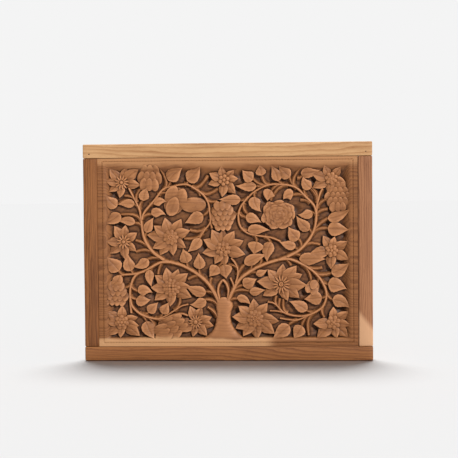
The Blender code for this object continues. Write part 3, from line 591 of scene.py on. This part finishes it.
def combine(target, operation, operands):
    """Joins a collection of closed bodies to the target, or cuts them from it, as one closed body."""
    modifier = target.modifiers.new(operands.name, "BOOLEAN")
    modifier.operation = operation
    modifier.operand_type = "COLLECTION"
    modifier.collection = operands
    modifier.solver = "MANIFOLD"
    graph = bpy.context.evaluated_depsgraph_get()
    joined = bpy.data.meshes.new_from_object(target.evaluated_get(graph))
    target.modifiers.clear()
    target.data = joined
    for used in list(operands.objects):
        bpy.data.objects.remove(used, do_unlink=True)
    bpy.data.collections.remove(operands)


combine(board, "UNION", relief)
combine(board, "DIFFERENCE", punches)
board.data.shade_smooth()
board.data.set_sharp_from_angle(angle=math.radians(38))

# Where painted shade darkens the wood and a painted highlight makes it paler, in millimetres. Under is
# how far a point lies below the mean of the wood around it, and cut is the same against its closest
# neighbours.
PROBE, NEAR, WIDE, BACK_SKIN = 1.2, 3, 7.5, 0.5
GROUND_DARK_H, DARK_REACH, UNDER_FULL, CUT_FULL = 14.2, 4, 3.5, 1.2
PROUD_FULL, RIM_FULL, TOP_REACH, BRANCH_PALE_REACH = 2.6, 0.8, 1.5, 3.5


def blurred(heights, reach):
    """The mean height within a square reach, in millimetres."""
    cells = max(1, round(reach / PROBE))
    padded = np.pad(heights, cells + 1, "edge")
    total = padded.cumsum(0).cumsum(1)
    w = 2 * cells + 1
    total = total[w:, w:] - total[:-w, w:] - total[w:, :-w] + total[:-w, :-w]
    return total[:heights.shape[0], :heights.shape[1]] / w ** 2


def note_hollows(made):
    """Stores at each point how deep it lies under the wood around it, which sets the painted shade
    in the hollows together with their dark oil, and how proud it stands, which sets the painted highlight
    and wear of the tops."""
    mesh = made.data
    tree = BVHTree.FromPolygons([v.co for v in mesh.vertices], [p.vertices[:] for p in mesh.polygons])
    xs = np.arange(-BOARD_X, BOARD_X + PROBE, PROBE)
    zs = np.arange(-BOARD_Z, BOARD_Z + PROBE, PROBE)
    heights = np.full((len(xs), len(zs)), BORDER_H)
    toward = Vector((0, 1, 0))
    for i, x in enumerate(xs):
        for j, z in enumerate(zs):
            hit = tree.ray_cast(Vector((x * MM, -0.05, z * MM)), toward)[0]
            if hit:
                heights[i, j] = -hit.y / MM
    co = np.zeros(len(mesh.vertices) * 3)
    mesh.vertices.foreach_get("co", co)
    co = co.reshape(-1, 3) / MM
    i = np.clip(np.round((co[:, 0] - xs[0]) / PROBE).astype(int), 0, len(xs) - 1)
    j = np.clip(np.round((co[:, 2] - zs[0]) / PROBE).astype(int), 0, len(zs) - 1)
    near, wide = blurred(heights, NEAR)[i, j], blurred(heights, WIDE)[i, j]
    height = -co[:, 1]
    front = height > BACK_SKIN
    under = 0.5 * (near - height) + 0.5 * (wide - height)
    cut = blurred(heights, PROBE)[i, j] - height
    # Painted shade: the low ground, points sunk under the wood around them and fine cuts turn darker,
    # standing in for the shade that falls there, with some dark oil
    hollow = 0.4 * np.clip((GROUND_DARK_H - height) / DARK_REACH, 0, 1)
    hollow += 0.5 * np.clip(under / UNDER_FULL, 0, 1) + 0.6 * np.clip(cut / CUT_FULL, 0, 1)
    off_trunk = np.abs(co[:, 0] - np.interp(co[:, 2], trunk_line[:, 0], trunk_line[:, 1]))
    off_trunk -= np.interp(co[:, 2], trunk_line[:, 0], trunk_halves)
    off_wood = np.where((co[:, 2] < trunk_line[-1, 0]) & (off_trunk < 0), 0.0, 99.0)
    for start in range(0, len(all_limb_points), 40):
        group = all_limb_points[start:start + 40]
        apart = np.hypot(co[:, 0, None] - group[:, 0], co[:, 2, None] - group[:, 1]).min(1)
        off_wood = np.minimum(off_wood, apart)
    # Painted highlight: paler along the crests of the trunk and limbs, with some wear
    branch_highlight_and_wear = 0.12 * np.exp(-(off_wood / BRANCH_PALE_REACH) ** 2) * (height > GROUND_DARK_H - 0.5)
    # Painted highlight: paler on rims and on wood standing above its surroundings, and on the tops in the
    # field, with some wear
    proud = 0.4 * np.clip(-under / PROUD_FULL, 0, 1) + 0.25 * np.clip(-cut / RIM_FULL, 0, 1) + branch_highlight_and_wear
    in_field = field_share(co[:, 0], co[:, 2])
    proud += 0.22 * np.clip((height - GROUND_DARK_H) / TOP_REACH, 0, 1) * in_field
    for name, value in (("hollow", hollow), ("proud", proud)):
        stored = mesh.attributes.new(name, "FLOAT", "POINT")
        stored.data.foreach_set("value", np.where(front, np.clip(value, 0, 1), 0).astype(np.float32))


note_hollows(board)


def tone(colour):
    """An sRGB hex colour as linear light."""
    parts = [int(colour[k:k + 2], 16) / 255 for k in (1, 3, 5)]
    return tuple(c / 12.92 if c <= 0.04045 else ((c + 0.055) / 1.055) ** 2.4 for c in parts) + (1,)


def add(tree, kind, inputs, **settings):
    """Adds a node with its settings. An input is a value, or an output of another node."""
    node = tree.nodes.new(kind)
    for name, value in settings.items():
        setattr(node, name, value)
    for socket, source in inputs.items():
        if isinstance(source, bpy.types.NodeSocket):
            tree.links.new(source, node.inputs[socket])
        else:
            node.inputs[socket].default_value = source
    return node


def blend_colours(tree, share, first, second, how="MIX"):
    return add(tree, "ShaderNodeMix", {"Factor": share, "A": first, "B": second}, data_type="RGBA",
               blend_type=how).outputs["Result"]


def fade(tree, value, start, end, low=0.0, high=1.0):
    """Maps a value from start..end to low..high with soft ends."""
    return add(tree, "ShaderNodeMapRange", {"Value": value, "From Min": start, "From Max": end,
               "To Min": low, "To Max": high}, interpolation_type="SMOOTHSTEP").outputs["Result"]


def walnut(name, early, late, turn, pith, ring, streak, roughness=0.55):
    """Oiled walnut. Growth rings are shells round a pith line, so they draw faint contour lines on
    whatever is cut. Long pores make short dark dashes, and slow streaks change the tone."""
    made = bpy.data.materials.new(name)
    made.use_nodes = True
    tree = made.node_tree
    place = add(tree, "ShaderNodeTexCoord", {}).outputs["Object"]
    turned = add(tree, "ShaderNodeMapping", {"Vector": place, "Rotation": turn, "Scale": (1000,) * 3,
                 "Location": pith}).outputs["Vector"]
    slow = add(tree, "ShaderNodeVectorMath", {0: turned, 1: (0.12, 1, 1)}, operation="MULTIPLY").outputs[0]
    drift = add(tree, "ShaderNodeTexNoise", {"Vector": slow, "Scale": 0.03, "Detail": 3.0}).outputs["Color"]
    bent = add(tree, "ShaderNodeVectorMath", {0: drift, 1: (0, 26, 26), 2: turned},
               operation="MULTIPLY_ADD").outputs[0]
    shells = add(tree, "ShaderNodeTexWave", {"Vector": bent, "Scale": 2 * math.pi / (20 * ring),
                 "Distortion": 1.8, "Detail": 3.0, "Detail Scale": 0.5}, wave_type="RINGS",
                 rings_direction="X", wave_profile="SAW").outputs["Fac"]
    late_line = fade(tree, shells, 0.3, 1.0)
    fine = add(tree, "ShaderNodeVectorMath", {0: bent, 1: (0.07, 1.5, 1.5)},
               operation="MULTIPLY").outputs[0]
    pores = add(tree, "ShaderNodeTexNoise", {"Vector": fine, "Scale": 0.9, "Detail": 2.0}).outputs["Fac"]
    dash = fade(tree, pores, 0.54, 0.72)
    wide = add(tree, "ShaderNodeTexNoise", {"Vector": slow, "Scale": 0.07, "Detail": 3.0}).outputs["Fac"]
    colour = blend_colours(tree, late_line, tone(early), tone(late))
    colour = blend_colours(tree, fade(tree, wide, 0.42, 0.7, 0, streak), colour, tone(late), "MULTIPLY")
    colour = blend_colours(tree, fade(tree, dash, 0, 1, 0, 0.3), colour, tone(late), "MULTIPLY")
    relief_of_grain = add(tree, "ShaderNodeMath", {0: dash, 1: late_line}, operation="ADD").outputs[0]
    bump = add(tree, "ShaderNodeBump", {"Height": relief_of_grain, "Strength": 0.25, "Distance": 0.0002},
               invert=True).outputs["Normal"]
    shader = tree.nodes["Principled BSDF"]
    shader.inputs["Specular IOR Level"].default_value = 0.25
    tree.links.new(colour, shader.inputs["Base Color"])
    tree.links.new(bump, shader.inputs["Normal"])
    tree.links.new(fade(tree, shells, 0, 1, roughness - 0.05, roughness + 0.08), shader.inputs["Roughness"])
    return made, colour, turned


def recolour(made, colour):
    made.node_tree.links.new(colour, made.node_tree.nodes["Principled BSDF"].inputs["Base Color"])


# Carved walnut with an oil finish: a warm brown whose fine rings contour the cuts. Painted shade,
# with some dark oil, darkens the hollows, and a painted highlight, with some wear, makes the raised tops
# paler, so the tree reads clearly against its ground.
carved_walnut, colour, grain_place = walnut("carved_walnut", "#8c5a33", "#744727", turn=(0, 0, 0),
                                            pith=(0, 120, -30), ring=3.0, streak=0.12)
tree = carved_walnut.node_tree


def plate_mm(tree, axis):
    """Where a point lies along an axis of the plate, in millimetres."""
    place = add(tree, "ShaderNodeTexCoord", {}).outputs["Object"]
    parts = add(tree, "ShaderNodeSeparateXYZ", {0: place})
    return add(tree, "ShaderNodeMath", {0: parts.outputs[axis], 1: 1000.0}, operation="MULTIPLY").outputs[0]


def both(tree, first, second):
    return add(tree, "ShaderNodeMath", {0: first, 1: second}, operation="MULTIPLY").outputs[0]


# Pale sapwood shows along the left of the board's lower edge and in a thin strip at its top
wavy = add(tree, "ShaderNodeTexNoise", {"Vector": grain_place, "Scale": 0.03, "Detail": 2.0}).outputs["Fac"]
height_up = add(tree, "ShaderNodeMath", {0: wavy, 1: 14.0, 2: plate_mm(tree, "Z")},
                operation="MULTIPLY_ADD").outputs[0]
pale_foot = both(tree, fade(tree, height_up, -111, -118), fade(tree, plate_mm(tree, "X"), 75, 45))
pale_head = fade(tree, height_up, 124, 134, 0, 0.75)
colour = blend_colours(tree, fade(tree, pale_foot, 0, 1, 0, 0.85), colour, tone("#c8986b"))
colour = blend_colours(tree, pale_head, colour, tone("#b58358"))
hollow = add(tree, "ShaderNodeAttribute", {}, attribute_name="hollow").outputs["Fac"]
proud = add(tree, "ShaderNodeAttribute", {}, attribute_name="proud").outputs["Fac"]
# Painted highlight: the proud attribute blends the raised tops toward a paler tan, with some wear
colour = blend_colours(tree, fade(tree, proud, 0.0, 0.8, 0, 0.8), colour, tone("#c4875a"))
# Painted shade: the hollow attribute blends the wood toward dark brown in the hollows, with some dark oil
# there
colour = blend_colours(tree, fade(tree, hollow, 0.0, 1.0, 0, 0.9), colour, tone("#341b0c"))
recolour(carved_walnut, colour)
board.data.materials.clear()
board.data.materials.append(carved_walnut)
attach(board, "root")
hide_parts("carved_panel")

# The frame. Four square bars of walnut butt together at the corners. They are planed by hand, so their
# edges are rubbed soft and not quite straight. The top bar is pale sapwood, and the others are brown.
EDGE_ROUND, EDGE_WEAR, WEAR_LONG, BAR_STEP = 1.3, 0.35, 19, 6.0
END_STEPS = (0, 0.13, 0.5)
CORNER_TURNS = [math.radians(a) for a in (0, 30, 60, 90)]


def bar(name, node, axis):
    """A planed bar in the node's place. Its section is a square with soft corners, which shrinks in a
    little at both ends, and the edges wander inwards where they are worn."""
    low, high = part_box(node)
    low, high = np.array(low) / MM, np.array(high) / MM
    length = high[axis] - low[axis]
    across, deep = (2 if axis == 0 else 0), 1
    inner = np.linspace(EDGE_ROUND, length - EDGE_ROUND, round(length / BAR_STEP))
    ends = [EDGE_ROUND * share for share in END_STEPS]
    stations = [*ends, *inner, *(length - t for t in reversed(ends))]
    rings = []
    for t in stations:
        end = max(0.0, 1 - min(t, length - t) / EDGE_ROUND)
        inset = EDGE_ROUND * (1 - math.sqrt(1 - end * end)) if end else 0.0
        ring = []
        for corner, (side, face) in enumerate(((1, 1), (-1, 1), (-1, -1), (1, -1))):
            wear = EDGE_WEAR * (0.5 + 0.5 * math.sin(t / (WEAR_LONG + 5 * corner) + 2.1 * corner + axis))
            radius = EDGE_ROUND + 1.5 * wear
            for turn in CORNER_TURNS:
                a = turn + corner * math.pi / 2
                point = np.zeros(3)
                point[axis] = low[axis] + t
                middle = (low + high) / 2
                half = (high - low) / 2 - radius - inset
                point[across] = middle[across] + side * half[across] + (radius - wear * 0.3) * math.cos(a)
                point[deep] = middle[deep] + face * half[deep] + (radius - wear * 0.3) * math.sin(a)
                ring.append(point)
        rings.append(ring)
    shaped = np.array(rings)
    made = solid(name, np.stack([shaped[..., 0], shaped[..., 2], -shaped[..., 1]], -1))
    made.data.shade_smooth()
    made.data.set_sharp_from_angle(angle=math.radians(50))
    return made


def fit_bar(made, node, finish):
    made.data.materials.append(finish)
    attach(made, "root")
    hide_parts(node)


# Pale sapwood of walnut: light tan, with wide soft rings running the bar's length
top_walnut = walnut("sapwood_top_bar", "#c2976a", "#ad7f54", turn=(0, 0, 0), pith=(0, -40, -120),
                    ring=5.0, streak=0.3)[0]
fit_bar(bar("top_bar", "top_rail", 0), "top_rail", top_walnut)

# Brown heartwood, one material a bar because each has its own tone, rings and slow dark streaks
bottom_walnut = walnut("brown_bottom_bar", "#976238", "#7a4a2a", turn=(0, 0, 0.05), pith=(0, 60, 190),
                       ring=3.4, streak=0.4)[0]
fit_bar(bar("bottom_bar", "bottom_rail", 0), "bottom_rail", bottom_walnut)
left_walnut = walnut("brown_left_bar", "#925d33", "#714323", turn=(0, math.pi / 2, 0), pith=(0, 30, 230),
                     ring=3.0, streak=0.5)[0]
fit_bar(bar("left_bar", "left_stile", 2), "left_stile", left_walnut)

# The right bar is cut across the edge of the sapwood, so its foot is pale below a slanting line
right_walnut, colour, _ = walnut("brown_right_bar", "#a26f4c", "#855638", turn=(0, math.pi / 2, 0),
                                 pith=(0, 50, -260), ring=3.6, streak=0.4)
tree = right_walnut.node_tree
lean_up = add(tree, "ShaderNodeMath", {0: plate_mm(tree, "X"), 1: 1.2, 2: plate_mm(tree, "Z")},
              operation="MULTIPLY_ADD").outputs[0]
colour = blend_colours(tree, fade(tree, lean_up, 142, 128, 0, 0.85), colour, tone("#cfa079"))
recolour(right_walnut, colour)
fit_bar(bar("right_bar", "right_stile", 2), "right_stile", right_walnut)

# The pegs. A dark wooden pin is driven through the top bar near each end and cut off flush. Its end
# grain drinks the oil and turns darker than the bar, with a fine gap round it.
PEG_SIDES, PEG_WORN = 20, 0.03
for node in ("left_peg", "right_peg"):
    low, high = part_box(node)
    x, z = (low.x + high.x) / 2 / MM, (low.z + high.z) / 2 / MM
    radius, face, foot = (high.x - low.x) / 2 / MM, -low.y / MM, -high.y / MM
    turns = [2 * math.pi * k / PEG_SIDES for k in range(PEG_SIDES)]
    profile = [(1.0, foot), (1.0, face - 0.5), (0.93, face - 0.18), (0.7, face - 0.04), (0.3, face),
               (0.05, face)]
    rings = []
    for share, h in profile:
        worn = [radius * share * (1 - PEG_WORN + PEG_WORN * math.sin(3 * t + x)) for t in turns]
        rings.append([(x + r * math.cos(t), z + r * math.sin(t), h) for r, t in zip(worn, turns)])
    made = solid(node + "_head", rings)
    made.data.shade_smooth()
    peg_wood = walnut(node + "_end_grain", "#4c2a1b", "#2e180f", turn=(0, 0, math.pi / 2), pith=(0, 0, 0),
                      ring=0.8, streak=0.3)[0]
    fit_bar(made, node, peg_wood)

# The floor, the light and the camera. A pale floor stands just under the plate. A broad soft light
# comes from high on the right, and one from above and behind throws the soft shadow on the floor.
FLOOR_Z, FLOOR_REACH, FLOOR_GREY = -0.1535, 60, 0.8
floor_mesh = bpy.data.meshes.new("floor")
corners = [(x * FLOOR_REACH, y * FLOOR_REACH, FLOOR_Z) for x, y in ((-1, -1), (1, -1), (1, 1), (-1, 1))]
floor_mesh.from_pydata(corners, [], [(0, 1, 2, 3)])
floor = bpy.data.objects.new("floor", floor_mesh)
bpy.context.scene.collection.objects.link(floor)
pale = bpy.data.materials.new("pale_floor")
pale.use_nodes = True
pale_shader = pale.node_tree.nodes["Principled BSDF"]
pale_shader.inputs["Base Color"].default_value = (FLOOR_GREY, FLOOR_GREY, FLOOR_GREY, 1)
pale_shader.inputs["Roughness"].default_value = 1.0
pale_shader.inputs["Specular IOR Level"].default_value = 0.0
floor_mesh.materials.append(pale)

camera = bpy.data.objects.new("camera", bpy.data.cameras.new("camera"))
camera.data.lens = 85
camera.data.clip_end = 200
camera.location = (0.0865, -1.5333, 0.0758)
camera.rotation_euler = [math.radians(a) for a in (88.358, 0.504, 3.153)]
bpy.context.scene.collection.objects.link(camera)
bpy.context.scene.camera = camera


def soft_light(name, towards, spread, strength):
    """A far, broad light that shines along a direction."""
    light = bpy.data.lights.new(name, "SUN")
    light.angle = math.radians(spread)
    light.energy = strength
    lamp = bpy.data.objects.new(name, light)
    lamp.rotation_euler = Vector(towards).to_track_quat("-Z", "Y").to_euler()
    bpy.context.scene.collection.objects.link(lamp)
    return lamp


# The front light is kept off the floor, so that the floor stays even right up to the plate
key_light = soft_light("key_light", (-0.47, 0.74, -0.47), 10, 3.2)
spared = bpy.data.collections.new("floor_without_front_light")
spared.objects.link(floor)
key_light.light_linking.receiver_collection = spared
spared.collection_objects[0].light_linking.link_state = "EXCLUDE"
BACK_LIGHT_UP = math.radians(70)
soft_light("back_light", (0, -math.cos(BACK_LIGHT_UP), -math.sin(BACK_LIGHT_UP)), 30, 3.05)

# The studio lights the plate softly from all sides, and its backdrop is a pale grey
world = bpy.data.worlds.new("studio")
bpy.context.scene.world = world
world.use_nodes = True
seen = add(world.node_tree, "ShaderNodeLightPath", {}).outputs["Is Camera Ray"]
strength = add(world.node_tree, "ShaderNodeMapRange", {"Value": seen, "To Min": 0.2, "To Max": 0.905})
backdrop = world.node_tree.nodes["Background"]
world.node_tree.links.new(strength.outputs["Result"], backdrop.inputs["Strength"])
backdrop.inputs["Color"].default_value = (1, 1, 1, 1)
bpy.context.scene.view_settings.view_transform = "Standard"
